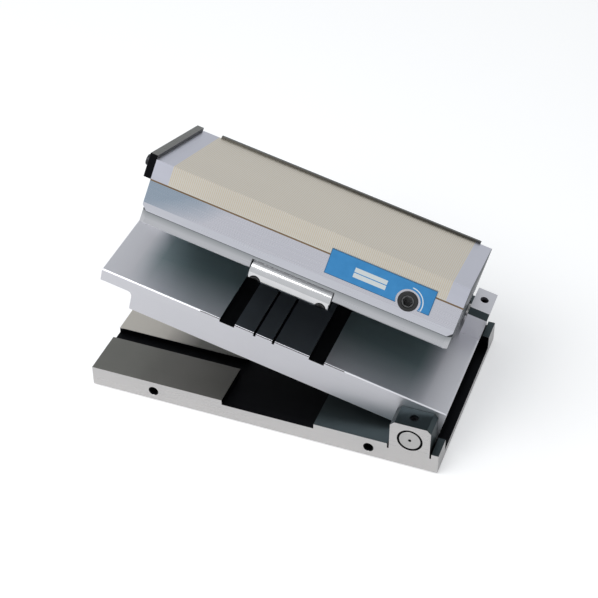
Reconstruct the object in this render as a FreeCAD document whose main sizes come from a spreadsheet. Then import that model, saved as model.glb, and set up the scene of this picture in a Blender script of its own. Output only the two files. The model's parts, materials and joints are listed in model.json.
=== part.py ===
import FreeCAD, Part
import math
import os
import sys

import Sketcher

# Compound sine magnetic chuck: a base plate, a swivel plate that tilts lengthways on two stub pins in the
# base's ears, and a fine-pole permanent magnetic chuck that tilts crossways on two pins in the swivel
# plate's blocks. Millimetres. +X runs along the length towards the lower hinge, +Y away from the switch,
# +Z up. The origin is the centre of the base plate's underside. Every piece is drawn with both stages
# closed flat, and its Placement then carries it to the tilts at which the chuck is set.

doc = FreeCAD.newDocument("sine_chuck")

# ---------------------------------------------------------------- driving dimensions

DIMENSIONS = [
    ("lower_sine_centres", 250, "lower hinge axis to lower roller"),
    ("upper_sine_centres", 100, "upper hinge axis to upper roller"),
    ("roller_radius", 9, "both sine rollers"),
    ("roller_length", 65, "both sine rollers"),
    ("lower_tilt", 12.5, "angle that the lower stage is set to, degrees"),
    ("upper_tilt", 22.3, "angle that the upper stage is set to, degrees"),
    ("base_thickness", 18, "base plate"),
    ("base_left_margin", 14, "base plate past the lower roller"),
    ("base_right_margin", 23, "base plate past the lower hinge axis"),
    ("ear_length", 32, "hinge ear along X"),
    ("ear_depth", 19.5, "hinge ear along Y"),
    ("ear_top", 41.5, "top of the ears above the underside"),
    ("ear_chamfer", 3.3, "top edges of the ears"),
    ("ear_slit_width", 1.4, "relief slit beside each ear"),
    ("ear_slit_depth", 4.3, "relief slit below the base's top face"),
    ("base_recess_left", 111.5, "cross recess from the base's left end"),
    ("base_recess_length", 76, "cross recess along X"),
    ("base_recess_depth", 4.5, "cross recess and seat grooves"),
    ("groove_width", 12.4, "dark grooves beside each gauge block seat"),
    ("seat_width", 62, "gauge block seat between its grooves"),
    ("heel_recess_reach", 9, "clearance recess, from the hinge axis to the left"),
    ("heel_recess_depth", 11.5, "clearance recess under the swivel plate's heel"),
    ("side_hole_left", 53, "tapped side hole from the base's left end"),
    ("side_hole_right", 55, "tapped side hole from the base's right end"),
    ("side_hole_depth", 18, "tapped side holes"),
    ("tapped_radius", 3.4, "tapped holes for side clamps and set screws"),
    ("edge_break", 0.8, "small chamfer on ground edges"),
    ("pin_head_radius", 9, "lower hinge pins in the ears"),
    ("lower_journal_radius", 6, "lower hinge pins in the swivel plate"),
    ("lower_journal_length", 20, "lower hinge pins in the swivel plate"),
    ("upper_pin_radius", 5, "upper hinge pins"),
    ("running_gap", 0.05, "radial clearance of each running fit"),
    ("plate_gap", 0.8, "between the base and the closed swivel plate"),
    ("plate_side_gap", 0.3, "between each ear and the swivel plate"),
    ("plate_thickness", 28.5, "swivel plate"),
    ("plate_left_overhang", 18, "swivel plate past the lower roller's axis"),
    ("plate_right_overhang", 18, "swivel plate past the lower hinge axis"),
    ("notch_fillet", 4, "inner corner of the roller notch"),
    ("seat_groove_depth", 3, "grooves and slits of the swivel plate's seat"),
    ("seat_slit_width", 2, "slits in the swivel plate's seat"),
    ("seat_slit_one", -14.2, "first slit from the middle of the swivel plate"),
    ("seat_slit_two", 1.3, "second slit from the middle of the swivel plate"),
    ("block_length", 16, "hinge block along X"),
    ("block_near_reach", 18.1, "hinge block from the upper hinge axis towards the roller"),
    ("block_far_reach", 15.9, "hinge block and swivel plate past the upper hinge axis"),
    ("block_height", 25, "hinge block above the swivel plate"),
    ("block_chamfer", 4.2, "top edges of the hinge blocks"),
    ("chuck_gap", 2, "between each hinge block and the chuck"),
    ("chuck_overhang", 5.5, "chuck past the upper hinge axis"),
    ("sine_plate_thickness", 10.4, "sine plate"),
    ("sine_plate_inset", 1.5, "sine plate behind the chuck's near face"),
    ("sine_plate_chamfer", 4, "upright near corners of the sine plate"),
    ("roller_inset", 0.5, "upper roller behind the chuck's near face"),
    ("roller_sink", 7.5, "depth of the step that the upper roller seats in"),
    ("roller_side_gap", 0.8, "beside the upper roller in its step"),
    ("lug_length", 18, "hinge lug along X"),
    ("lug_gap", 0.3, "between the lug and the swivel plate"),
    ("cover_thickness", 6, "bottom cover"),
    ("cover_chamfer", 4, "lower end edges of the bottom cover"),
    ("housing_height", 17.7, "housing"),
    ("wall", 14, "housing walls"),
    ("wall_screw_inset", 7.98, "screws up into the long walls, from the chuck's near and far faces"),
    ("sine_screw_near_inset", 21, "sine plate's near end screws from the chuck's ends"),
    ("sine_screw_far_inset", 33, "sine plate's far end screws from the chuck's ends"),
    ("sine_screw_offset", 50, "sine plate's inner screws from the middle"),
    ("roller_screw_offset", 25, "roller screws from the roller's middle"),
    ("top_screw_step", 19.52, "top plate's outer screws from the rows in the long walls"),
    ("thread_skin", 3.3, "metal left above a blind screw hole"),
    ("separator_thickness", 1.2, "brass sheet"),
    ("top_thickness", 15.7, "top plate"),
    ("pole_margin", 14, "plain steel at each end of the top plate"),
    ("pole_web", 0.9, "steel left under the slots"),
    ("spacer_width", 0.5, "brass strip in each slot"),
    ("spacer_count", 148, "brass strips"),
    ("switch_from_end", 39.4, "switch axis from the chuck's right end"),
    ("switch_below_face", 27, "switch axis below the work face"),
    ("bush_radius", 7, "shaft bush in the wall"),
    ("bush_flange_radius", 7.75, "shaft bush outside"),
    ("bush_flange", 1, "shaft bush flange thickness"),
    ("shaft_radius", 5, "switch shaft"),
    ("socket_flats", 7, "hexagon socket across flats"),
    ("socket_depth", 10, "hexagon socket"),
    ("crank_throw", 4, "crank pin from the shaft's axis"),
    ("crank_pin_radius", 3, "crank pin"),
    ("crank_pin_length", 8, "crank pin"),
    ("crank_web", 2.5, "crank web thickness"),
    ("crank_web_radius", 7.35, "crank web"),
    ("crank_play", 1, "between the crank pin and each side of its slot"),
    ("crank_gap", 0.4, "between the bush and the crank web"),
    ("crank_clearance", 0.8, "between the crank web and the carrier"),
    ("crank_pin_end_gap", 0.5, "beyond the crank pin in its slot"),
    ("seal_groove_depth", 0.8, "seal groove in the shaft"),
    ("seal_width", 2, "seal along the shaft"),
    ("bar_count", 25, "steel poles and magnets in the carrier together"),
    ("runner_thickness", 0.4, "low friction strips"),
    ("runner_width", 6, "low friction strips"),
    ("carrier_gap", 0.1, "between the carrier and its runners"),
    ("carrier_headroom", 0.5, "above the carrier"),
    ("carrier_end_gap", 1, "at each end of the carrier's travel"),
    ("carrier_rail", 8, "long rails of the carrier"),
    ("carrier_end", 6, "end rails of the carrier"),
    ("name_plate_left", 104.5, "name plate's left edge from the chuck's right end"),
    ("name_plate_length", 83, "name plate"),
    ("name_plate_top", 11.2, "name plate below the work face"),
    ("name_plate_height", 19.8, "name plate"),
    ("name_plate_thickness", 0.8, "name plate"),
    ("name_plate_notch", 9.5, "radius of its cut-out round the switch"),
    ("stop_thickness", 6, "end stop"),
    ("stop_rise", 3, "end stop above the work face"),
    ("stop_drop", 16.1, "end stop below the work face"),
    ("stop_near_inset", 0.4, "end stop behind the chuck's near face"),
    ("stop_far_inset", 2, "end stop short of the chuck's far face"),
    ("stop_screw_inset", 16, "end stop screws from the stop's ends"),
    ("rail_thickness", 3.4, "back rail"),
    ("rail_rise", 1.6, "back rail above the work face"),
    ("rail_drop", 31, "back rail below the work face"),
    ("rail_left_margin", 15.6, "back rail short of the chuck's left end"),
    ("rail_right_margin", 10, "back rail short of the chuck's right end"),
    ("rail_screw_spacing", 80, "back rail screws"),
    ("rail_screw_drop", 6, "back rail screws below the top of the housing"),
    ("slide_up", 2, "travel of the end stop and back rail above rest"),
    ("slide_down", 4, "travel of the end stop and back rail below rest"),
    ("slide_gap", 0.1, "behind the end stop and back rail"),
    ("slot_gap", 0.1, "beside each screw in a slot"),
]


class Size:
    """A number together with the spreadsheet formula that gives it."""

    def __init__(self, value, formula):
        self.value = float(value)
        self.formula = formula

    def __add__(self, other):
        other = as_size(other)
        return Size(self.value + other.value, f"({self.formula} + {other.formula})")

    def __sub__(self, other):
        other = as_size(other)
        return Size(self.value - other.value, f"({self.formula} - {other.formula})")

    def __mul__(self, other):
        other = as_size(other)
        return Size(self.value * other.value, f"({self.formula} * {other.formula})")

    def __truediv__(self, other):
        other = as_size(other)
        return Size(self.value / other.value, f"({self.formula} / {other.formula})")

    def __neg__(self):
        return Size(-self.value, f"(0 - {self.formula})")

    def __radd__(self, other):
        return as_size(other) + self

    def __rsub__(self, other):
        return as_size(other) - self

    def __rmul__(self, other):
        return as_size(other) * self


def as_size(number):
    return number if isinstance(number, Size) else Size(number, repr(float(number)))


def make_sheet():
    """The spreadsheet of driving dimensions, and the same values as named sizes."""
    sheet = doc.addObject("Spreadsheet::Sheet", "sizes")
    named = {}
    for row, (alias, value, note) in enumerate(DIMENSIONS, start=1):
        sheet.set(f"A{row}", note)
        sheet.set(f"B{row}", str(value))
        sheet.setAlias(f"B{row}", alias)
        named[alias] = Size(value, f"sizes.{alias}")
    doc.recompute()
    return named


d = make_sheet()

# ---------------------------------------------------------------- places worked out from the dimensions

# Base plate. Its length and width follow from the two sine distances.
plate_width = d["roller_inset"] + d["roller_radius"] + d["upper_sine_centres"] + d["block_far_reach"]
base_length = d["base_left_margin"] + d["lower_sine_centres"] + d["base_right_margin"]
base_width = plate_width + (d["ear_depth"] + d["plate_side_gap"]) * 2
base_left = -base_length / 2
base_right = base_length / 2
base_near = -base_width / 2
base_far = base_width / 2
base_top = d["base_thickness"]
hinge_x = base_right - d["base_right_margin"]
hinge_z = base_top + d["roller_radius"]
ear_left = hinge_x - d["ear_length"] / 2
ear_right = hinge_x + d["ear_length"] / 2

# Swivel plate, closed
lower_roller_x = hinge_x - d["lower_sine_centres"]
plate_left = lower_roller_x - d["plate_left_overhang"]
plate_right = hinge_x + d["plate_right_overhang"]
plate_middle = (plate_left + plate_right) / 2
plate_near = base_near + d["ear_depth"] + d["plate_side_gap"]
plate_far = plate_near + plate_width
plate_bottom = base_top + d["plate_gap"]
plate_top = plate_bottom + d["plate_thickness"]
notch_ceiling = hinge_z + d["roller_radius"]
notch_wall = lower_roller_x + d["roller_radius"]
block_top = plate_top + d["block_height"]
upper_roller_y = plate_near + d["roller_inset"] + d["roller_radius"]
upper_hinge_y = upper_roller_y + d["upper_sine_centres"]
upper_hinge_z = plate_top + d["roller_radius"]
block_near = upper_hinge_y - d["block_near_reach"]

# Chuck, closed
chuck_left = plate_left + d["block_length"] + d["chuck_gap"]
chuck_right = plate_right - d["block_length"] - d["chuck_gap"]
chuck_near = plate_near
chuck_far = upper_hinge_y + d["chuck_overhang"]
chuck_middle_y = (chuck_near + chuck_far) / 2
sine_near = chuck_near + d["sine_plate_inset"]
sine_bottom = plate_top + d["roller_radius"] * 2 - d["roller_sink"]
cover_bottom = sine_bottom + d["sine_plate_thickness"]
housing_bottom = cover_bottom + d["cover_thickness"]
housing_top = housing_bottom + d["housing_height"]
top_bottom = housing_top + d["separator_thickness"]
work_face = top_bottom + d["top_thickness"]
cavity_left = chuck_left + d["wall"]
cavity_right = chuck_right - d["wall"]
cavity_near = chuck_near + d["wall"]
cavity_far = chuck_far - d["wall"]
switch_x = chuck_right - d["switch_from_end"]
switch_z = work_face - d["switch_below_face"]
wall_row_near = chuck_near + d["wall_screw_inset"]
wall_row_far = chuck_far - d["wall_screw_inset"]
end_row_left = chuck_left + d["wall"] / 2
end_row_right = chuck_right - d["wall"] / 2

# Screws of the standard sizes: shank radius, head radius, head height
SCREW_M4 = (2.0, 3.5, 4.0)
SCREW_M5 = (2.5, 4.25, 5.0)
KEY_TO_SHANK = 1.5  # hexagon socket of a cap screw, across flats, to its shank's radius
KEY_TO_SET_SCREW = 1.17  # the same for a set screw
KEY_DEPTH_SHARE = 0.55  # of the head's height or the set screw's length
SET_SCREW_KEY_LIMIT = 3.0
SET_SCREW_BREAK = 0.5
HEAD_SINK = 0.6  # head below the face that it is counterbored into
HEAD_GAP = 0.25  # beside the head in its counterbore
THREAD_DEPTH = 8.0
BEYOND = 1.0  # how far a cut runs past the face that it starts from


def screw_row(row_y, end_inset):
    """Four screws along a long wall of the chuck: two by its ends and two beside its middle."""
    offset = d["sine_screw_offset"]
    xs = (chuck_left + end_inset, plate_middle - offset, plate_middle + offset, chuck_right - end_inset)
    return [(x, row_y) for x in xs]


lower_roller_screws = [(lower_roller_x, d["roller_screw_offset"] * side) for side in (-1, 1)]
upper_roller_screws = [(plate_middle + d["roller_screw_offset"] * side, upper_roller_y) for side in (-1, 1)]
sine_screws = screw_row(wall_row_near, d["sine_screw_near_inset"])
sine_screws += screw_row(wall_row_far, d["sine_screw_far_inset"])
cover_screws = [
    (x, y) for y in (wall_row_near, wall_row_far) for x in (end_row_left, plate_middle, end_row_right)
]
top_rows = (wall_row_near + d["top_screw_step"], chuck_middle_y, wall_row_far - d["top_screw_step"])
top_screws = [(x, y) for x in (end_row_left, end_row_right) for y in top_rows]

# ---------------------------------------------------------------- placements of the two tilting stages


def turned_about(point, axis, degrees):
    rotation = FreeCAD.Rotation(axis, degrees)
    return FreeCAD.Placement(FreeCAD.Vector(0, 0, 0), rotation, point)


ON_BASE = FreeCAD.Placement()
ON_PLATE = turned_about(
    FreeCAD.Vector(hinge_x.value, 0, hinge_z.value), FreeCAD.Vector(0, 1, 0), d["lower_tilt"].value
)
ON_CHUCK = ON_PLATE * turned_about(
    FreeCAD.Vector(0, upper_hinge_y.value, upper_hinge_z.value),
    FreeCAD.Vector(-1, 0, 0),
    d["upper_tilt"].value,
)

# ---------------------------------------------------------------- how features are made

NORMAL_SIGN = {"XY_Plane": 1, "YZ_Plane": 1, "XZ_Plane": -1}
pieces = []


def bind(thing, path, size):
    thing.setExpression(path, as_size(size).formula)


def new_body(label, placement):
    body = doc.addObject("PartDesign::Body", label)
    body.Label = label
    pieces.append((body, placement))
    return body


def new_sketch(body, plane, level):
    """A sketch on one of the body's origin planes, moved along that plane's normal to a level."""
    sketch = body.newObject("Sketcher::SketchObject", f"{body.Name}_sketch")
    support = next(part for part in body.Origin.OriginFeatures if part.Role == plane)
    sketch.AttachmentSupport = [(support, "")]
    sketch.MapMode = "FlatFace"
    bind(sketch, "AttachmentOffset.Base.z", level)
    return sketch


def hold(sketch, kind, geometry, point, size):
    """Holds a point's distance from the origin along X or Y to a size."""
    size = as_size(size)
    number = sketch.addConstraint(Sketcher.Constraint(kind, -1, 1, geometry, point, size.value))
    sketch.setExpression(f"Constraints[{number}]", size.formula)


def draw_outline(sketch, corners):
    """A closed outline of straight lines through corners."""
    first = sketch.GeometryCount
    count = len(corners)
    points = [FreeCAD.Vector(as_size(u).value, as_size(v).value, 0) for u, v in corners]
    for i in range(count):
        sketch.addGeometry(Part.LineSegment(points[i], points[(i + 1) % count]), False)
    for i in range(count):
        sketch.addConstraint(Sketcher.Constraint("Coincident", first + i, 2, first + (i + 1) % count, 1))
    for i, (u, v) in enumerate(corners):
        hold(sketch, "DistanceX", first + i, 1, u)
        hold(sketch, "DistanceY", first + i, 1, v)


def draw_circle(sketch, centre, radius):
    u, v = as_size(centre[0]), as_size(centre[1])
    radius = as_size(radius)
    circle = Part.Circle(FreeCAD.Vector(u.value, v.value, 0), FreeCAD.Vector(0, 0, 1), radius.value)
    geometry = sketch.addGeometry(circle, False)
    hold(sketch, "DistanceX", geometry, 3, u)
    hold(sketch, "DistanceY", geometry, 3, v)
    number = sketch.addConstraint(Sketcher.Constraint("Radius", geometry, radius.value))
    sketch.setExpression(f"Constraints[{number}]", radius.formula)


def feature(body, kind, plane, start, end, draw):
    """A pad or pocket between two levels of a plane's axis, with its sketch drawn by draw."""
    sign = NORMAL_SIGN[plane]
    from_start = (kind == "Pad") == (sign > 0)
    level = as_size(start if from_start else end) * sign
    sketch = new_sketch(body, plane, level)
    draw(sketch)
    solid = body.newObject(f"PartDesign::{kind}", f"{body.Name}_{kind.lower()}")
    solid.Profile = sketch
    bind(solid, "Length", as_size(end) - start)
    return solid


def pad(body, plane, corners, start, end):
    return feature(body, "Pad", plane, start, end, lambda sketch: draw_outline(sketch, corners))


def pocket(body, plane, corners, start, end):
    return feature(body, "Pocket", plane, start, end, lambda sketch: draw_outline(sketch, corners))


def rod(body, plane, centre, radius, start, end):
    return feature(body, "Pad", plane, start, end, lambda sketch: draw_circle(sketch, centre, radius))


def drill(body, plane, centres, radius, start, end):
    def draw(sketch):
        for centre in centres:
            draw_circle(sketch, centre, radius)

    return feature(body, "Pocket", plane, start, end, draw)


def rectangle(left, right, low, high):
    return [(left, low), (right, low), (right, high), (left, high)]


def on_line(edge, fixed):
    """Whether a straight edge lies where the given coordinates say."""
    if edge.Curve.TypeId != "Part::GeomLine":
        return False
    ends = [edge.Vertexes[0].Point, edge.Vertexes[-1].Point]
    return all(
        abs(getattr(end, axis) - as_size(size).value) < 1e-4 for end in ends for axis, size in fixed.items()
    )


def is_circle(edge, radius, fixed):
    """Whether an edge is a circle of a radius whose centre has the given coordinates."""
    if edge.Curve.TypeId != "Part::GeomCircle" or abs(edge.Curve.Radius - radius.value) > 1e-4:
        return False
    centre = edge.Curve.Center
    return all(abs(getattr(centre, axis) - as_size(size).value) < 1e-4 for axis, size in fixed.items())


def dress(body, kind, size, wanted):
    """A chamfer or fillet on the edges of the body that wanted accepts."""
    doc.recompute()
    tip = body.Tip
    names = [f"Edge{i}" for i, edge in enumerate(tip.Shape.Edges, start=1) if wanted(edge)]
    if not names:
        raise ValueError(f"{body.Label}: no edge for the {kind.lower()}")
    finish = body.newObject(f"PartDesign::{kind}", f"{body.Name}_{kind.lower()}")
    finish.Base = (tip, names)
    bind(finish, "Radius" if kind == "Fillet" else "Size", size)
    return finish


def lathe(label, profile, centre, axis, stage):
    """A turned piece: a half section of (radius, height) corners revolved, then laid along an axis."""
    lay = FreeCAD.Placement(
        FreeCAD.Vector(*[as_size(value).value for value in centre]),
        FreeCAD.Rotation(FreeCAD.Vector(0, 0, 1), FreeCAD.Vector(*axis)),
    )
    body = new_body(label, stage * lay)
    sketch = new_sketch(body, "XZ_Plane", 0)
    draw_outline(sketch, profile)
    turn = body.newObject("PartDesign::Revolution", f"{body.Name}_turn")
    turn.Profile = sketch
    turn.ReferenceAxis = (sketch, ["V_Axis"])
    turn.Angle = 360
    return body


def group(label, shapes, stage):
    """Like pieces that share one node, each a solid of its own."""
    piece = doc.addObject("Part::Feature", label)
    piece.Label = label
    piece.Shape = Part.makeCompound(shapes)
    pieces.append((piece, stage))
    return piece


def hexagon(flats):
    """A regular hexagon about the origin, by its size across flats."""
    corner = flats / math.sqrt(3)
    points = [
        FreeCAD.Vector(corner * math.cos(math.radians(60 * k)), corner * math.sin(math.radians(60 * k)), 0)
        for k in range(7)
    ]
    return Part.Face(Part.makePolygon(points))


def cap_screw(screw, shank_length):
    """A socket head cap screw, its seat at the origin, its head below and its shank above."""
    shank_radius, head_radius, head_height = screw
    head = Part.makeCylinder(head_radius, head_height, FreeCAD.Vector(0, 0, -head_height))
    top_edges = [edge for edge in head.Edges if edge.Vertexes[0].Z < -0.5 * head_height]
    head = head.makeChamfer(head_height / 10, top_edges)
    key = hexagon(KEY_TO_SHANK * shank_radius).extrude(FreeCAD.Vector(0, 0, head_height * KEY_DEPTH_SHARE))
    key.translate(FreeCAD.Vector(0, 0, -head_height))
    shank = Part.makeCylinder(shank_radius, shank_length)
    return head.fuse(shank).removeSplitter().cut(key)


def set_screw(radius, length):
    """A socket set screw standing on the origin, its hexagon socket upwards."""
    body = Part.makeCylinder(radius, length)
    rims = [edge for edge in body.Edges if edge.Curve.TypeId == "Part::GeomCircle"]
    body = body.makeChamfer(min(SET_SCREW_BREAK, length / 4), rims)
    depth = min(KEY_DEPTH_SHARE * length, SET_SCREW_KEY_LIMIT)
    key = hexagon(KEY_TO_SET_SCREW * radius).extrude(FreeCAD.Vector(0, 0, depth))
    key.translate(FreeCAD.Vector(0, 0, length - depth))
    return body.cut(key)


def placed(shape, centre, axis=(0, 0, 1)):
    """A copy of a shape moved to a centre, with its own Z axis turned to an axis."""
    copy = shape.copy()
    copy.Placement = FreeCAD.Placement(
        FreeCAD.Vector(*[as_size(value).value for value in centre]),
        FreeCAD.Rotation(FreeCAD.Vector(0, 0, 1), FreeCAD.Vector(*axis)),
    )
    return copy


def block(left, right, near, far, low, high):
    """A plain rectangular solid between six places."""
    values = [as_size(place).value for place in (left, right, near, far, low, high)]
    x0, x1, y0, y1, z0, z1 = values
    return Part.makeBox(x1 - x0, y1 - y0, z1 - z0, FreeCAD.Vector(x0, y0, z0))


# ---------------------------------------------------------------- base stage


def base_plate():
    body = new_body("base_plate", ON_BASE)
    pad(body, "XY_Plane", rectangle(base_left, base_right, base_near, base_far), 0, base_top)
    root = base_top / 2
    chamfer = d["ear_chamfer"]
    ear = [
        (ear_left, root),
        (ear_right, root),
        (ear_right, d["ear_top"] - chamfer),
        (ear_right - chamfer, d["ear_top"]),
        (ear_left + chamfer, d["ear_top"]),
        (ear_left, d["ear_top"] - chamfer),
    ]
    near_ear = (base_near, base_near + d["ear_depth"])
    far_ear = (base_far - d["ear_depth"], base_far)
    for start, end in (near_ear, far_ear):
        pad(body, "XZ_Plane", ear, start, end)
    recess_left = base_left + d["base_recess_left"]
    recess_right = recess_left + d["base_recess_length"]
    recess_floor = base_top - d["base_recess_depth"]
    above = base_top + BEYOND
    pocket(
        body,
        "XZ_Plane",
        rectangle(recess_left, recess_right, recess_floor, above),
        base_near - BEYOND,
        base_far + BEYOND,
    )
    for side in (-1, 1):
        inner = d["seat_width"] / 2 * side
        outer = inner + d["groove_width"] * side
        low, high = (outer, inner) if side < 0 else (inner, outer)
        groove = rectangle(base_left - BEYOND, recess_left + BEYOND, low, high)
        pocket(body, "XY_Plane", groove, recess_floor, above)
    heel = rectangle(hinge_x - d["heel_recess_reach"], base_right + BEYOND, near_ear[1], far_ear[0])
    pocket(body, "XY_Plane", heel, base_top - d["heel_recess_depth"], d["ear_top"])
    slit_floor = base_top - d["ear_slit_depth"]
    for start, end in ((base_near - BEYOND, near_ear[1]), (far_ear[0], base_far + BEYOND)):
        for left in (ear_left - d["ear_slit_width"], ear_right):
            slit = rectangle(left, left + d["ear_slit_width"], start, end)
            pocket(body, "XY_Plane", slit, slit_floor, above)
    for start, end in ((base_near - BEYOND, near_ear[1] + BEYOND), (far_ear[0] - BEYOND, base_far + BEYOND)):
        drill(body, "XZ_Plane", [(hinge_x, hinge_z)], d["pin_head_radius"], start, end)
    ear_middle = d["ear_depth"] / 2
    screw_holes = [(hinge_x, base_near + ear_middle), (hinge_x, base_far - ear_middle)]
    drill(body, "XY_Plane", screw_holes, d["tapped_radius"], hinge_z, d["ear_top"] + BEYOND)
    side_holes = [
        (base_left + d["side_hole_left"], base_top / 2),
        (base_right - d["side_hole_right"], base_top / 2),
    ]
    depth = d["side_hole_depth"]
    drill(body, "XZ_Plane", side_holes, d["tapped_radius"], base_near - BEYOND, base_near + depth)
    drill(body, "XZ_Plane", side_holes, d["tapped_radius"], base_far - depth, base_far + BEYOND)
    dress(
        body,
        "Chamfer",
        d["edge_break"],
        lambda edge: is_circle(edge, d["pin_head_radius"], {"y": base_near})
        or is_circle(edge, d["pin_head_radius"], {"y": base_far})
        or is_circle(edge, d["tapped_radius"], {"y": base_near})
        or is_circle(edge, d["tapped_radius"], {"y": base_far})
        or on_line(edge, {"z": 0}),
    )


def lower_hinge_pins():
    """Stub pins: a large head held in the ear, and a journal that the swivel plate turns on."""
    head = d["ear_depth"]
    length = head + d["plate_side_gap"] + d["lower_journal_length"]
    break_ = d["edge_break"]
    dimple = d["edge_break"]
    profile = [
        (0, dimple),
        (dimple, 0),
        (d["pin_head_radius"] - break_, 0),
        (d["pin_head_radius"], break_),
        (d["pin_head_radius"], head),
        (d["lower_journal_radius"], head),
        (d["lower_journal_radius"], length - break_),
        (d["lower_journal_radius"] - break_, length),
        (0, length),
    ]
    lathe("lower_hinge_pin_near", profile, (hinge_x, base_near, hinge_z), (0, 1, 0), ON_BASE)
    lathe("lower_hinge_pin_far", profile, (hinge_x, base_far, hinge_z), (0, -1, 0), ON_BASE)


def ear_clamp_screws():
    foot = hinge_z + d["pin_head_radius"]
    length = d["ear_top"] - foot - d["tapped_radius"] / 2
    screw = set_screw(d["tapped_radius"].value, length.value)
    middle = d["ear_depth"] / 2
    places = [(hinge_x, base_near + middle, foot), (hinge_x, base_far - middle, foot)]
    group("ear_clamp_screws", [placed(screw, place) for place in places], ON_BASE)


# ---------------------------------------------------------------- swivel plate stage


def swivel_plate():
    body = new_body("swivel_plate", ON_PLATE)
    side_view = [
        (plate_left, notch_ceiling),
        (notch_wall, notch_ceiling),
        (notch_wall, plate_bottom),
        (plate_right, plate_bottom),
        (plate_right, plate_top),
        (plate_left, plate_top),
    ]
    pad(body, "XZ_Plane", side_view, plate_near, plate_far)
    root = plate_top - d["plate_thickness"] / 4
    chamfer = d["block_chamfer"]
    end_view = [
        (block_near, root),
        (plate_far, root),
        (plate_far, block_top - chamfer),
        (plate_far - chamfer, block_top),
        (block_near + chamfer, block_top),
        (block_near, block_top - chamfer),
    ]
    blocks = ((plate_left, plate_left + d["block_length"]), (plate_right - d["block_length"], plate_right))
    for start, end in blocks:
        pad(body, "YZ_Plane", end_view, start, end)
    half_seat = d["seat_width"] / 2
    grooves = [
        (plate_middle - half_seat - d["groove_width"], d["groove_width"]),
        (plate_middle + half_seat, d["groove_width"]),
        (plate_middle + d["seat_slit_one"] - d["seat_slit_width"] / 2, d["seat_slit_width"]),
        (plate_middle + d["seat_slit_two"] - d["seat_slit_width"] / 2, d["seat_slit_width"]),
    ]
    for left, width in grooves:
        groove = rectangle(left, left + width, plate_top - d["seat_groove_depth"], plate_top + BEYOND)
        pocket(body, "XZ_Plane", groove, plate_near - BEYOND, plate_far + BEYOND)
    journal = d["lower_journal_radius"] + d["running_gap"]
    depth = d["lower_journal_length"] + BEYOND
    drill(body, "XZ_Plane", [(hinge_x, hinge_z)], journal, plate_near - BEYOND, plate_near + depth)
    drill(body, "XZ_Plane", [(hinge_x, hinge_z)], journal, plate_far - depth, plate_far + BEYOND)
    for start, end in blocks:
        drill(
            body,
            "YZ_Plane",
            [(upper_hinge_y, upper_hinge_z)],
            d["upper_pin_radius"],
            start - BEYOND,
            end + BEYOND,
        )
    screw_holes = [((start + end) / 2, upper_hinge_y) for start, end in blocks]
    drill(body, "XY_Plane", screw_holes, d["tapped_radius"], upper_hinge_z, block_top + BEYOND)
    hole_end = plate_top - d["thread_skin"]
    drill(body, "XY_Plane", lower_roller_screws, SCREW_M4[0], notch_ceiling - BEYOND, hole_end)
    dress(body, "Fillet", d["notch_fillet"], lambda edge: on_line(edge, {"x": notch_wall, "z": notch_ceiling}))
    dress(
        body,
        "Chamfer",
        d["edge_break"],
        lambda edge: on_line(edge, {"y": plate_near, "z": plate_top})
        or on_line(edge, {"x": plate_left, "z": plate_top})
        or on_line(edge, {"x": plate_right, "z": plate_top}),
    )


def roller(label, plane, centre, start, end, screws, low, stage):
    """A sine roller with two counterbored screw holes from below."""
    body = new_body(label, stage)
    radius = d["roller_radius"]
    rod(body, plane, centre, radius, start, end)
    dress(body, "Chamfer", d["edge_break"] / 2, lambda edge: edge.Curve.TypeId == "Part::GeomCircle")
    shank, head, height = SCREW_M4
    drill(body, "XY_Plane", screws, shank, low - BEYOND, low + radius * 2 + BEYOND)
    drill(body, "XY_Plane", screws, head + HEAD_GAP, low - BEYOND, low + HEAD_SINK + height)


def lower_roller():
    half = d["roller_length"] / 2
    low = hinge_z - d["roller_radius"]
    roller(
        "lower_sine_roller",
        "XZ_Plane",
        (lower_roller_x, hinge_z),
        -half,
        half,
        lower_roller_screws,
        low,
        ON_PLATE,
    )
    seat = low + HEAD_SINK + SCREW_M4[2]
    screw = cap_screw(SCREW_M4, (plate_top - d["thread_skin"] - BEYOND - seat).value)
    group("lower_roller_screws", [placed(screw, (x, y, seat)) for x, y in lower_roller_screws], ON_PLATE)


def upper_hinge_pins():
    length = d["block_length"] + d["chuck_gap"] + d["lug_length"]
    radius = d["upper_pin_radius"]
    break_ = d["edge_break"]
    profile = [
        (0, 0),
        (radius - break_, 0),
        (radius, break_),
        (radius, length - break_),
        (radius - break_, length),
        (0, length),
    ]
    lathe("upper_hinge_pin_left", profile, (plate_left, upper_hinge_y, upper_hinge_z), (1, 0, 0), ON_PLATE)
    lathe("upper_hinge_pin_right", profile, (plate_right, upper_hinge_y, upper_hinge_z), (-1, 0, 0), ON_PLATE)


def block_clamp_screws():
    foot = upper_hinge_z + d["upper_pin_radius"]
    length = block_top - foot - d["tapped_radius"] / 2
    screw = set_screw(d["tapped_radius"].value, length.value)
    middle = d["block_length"] / 2
    places = [(plate_left + middle, upper_hinge_y, foot), (plate_right - middle, upper_hinge_y, foot)]
    group("block_clamp_screws", [placed(screw, place) for place in places], ON_PLATE)


# ---------------------------------------------------------------- chuck stage: the tilting body


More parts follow.
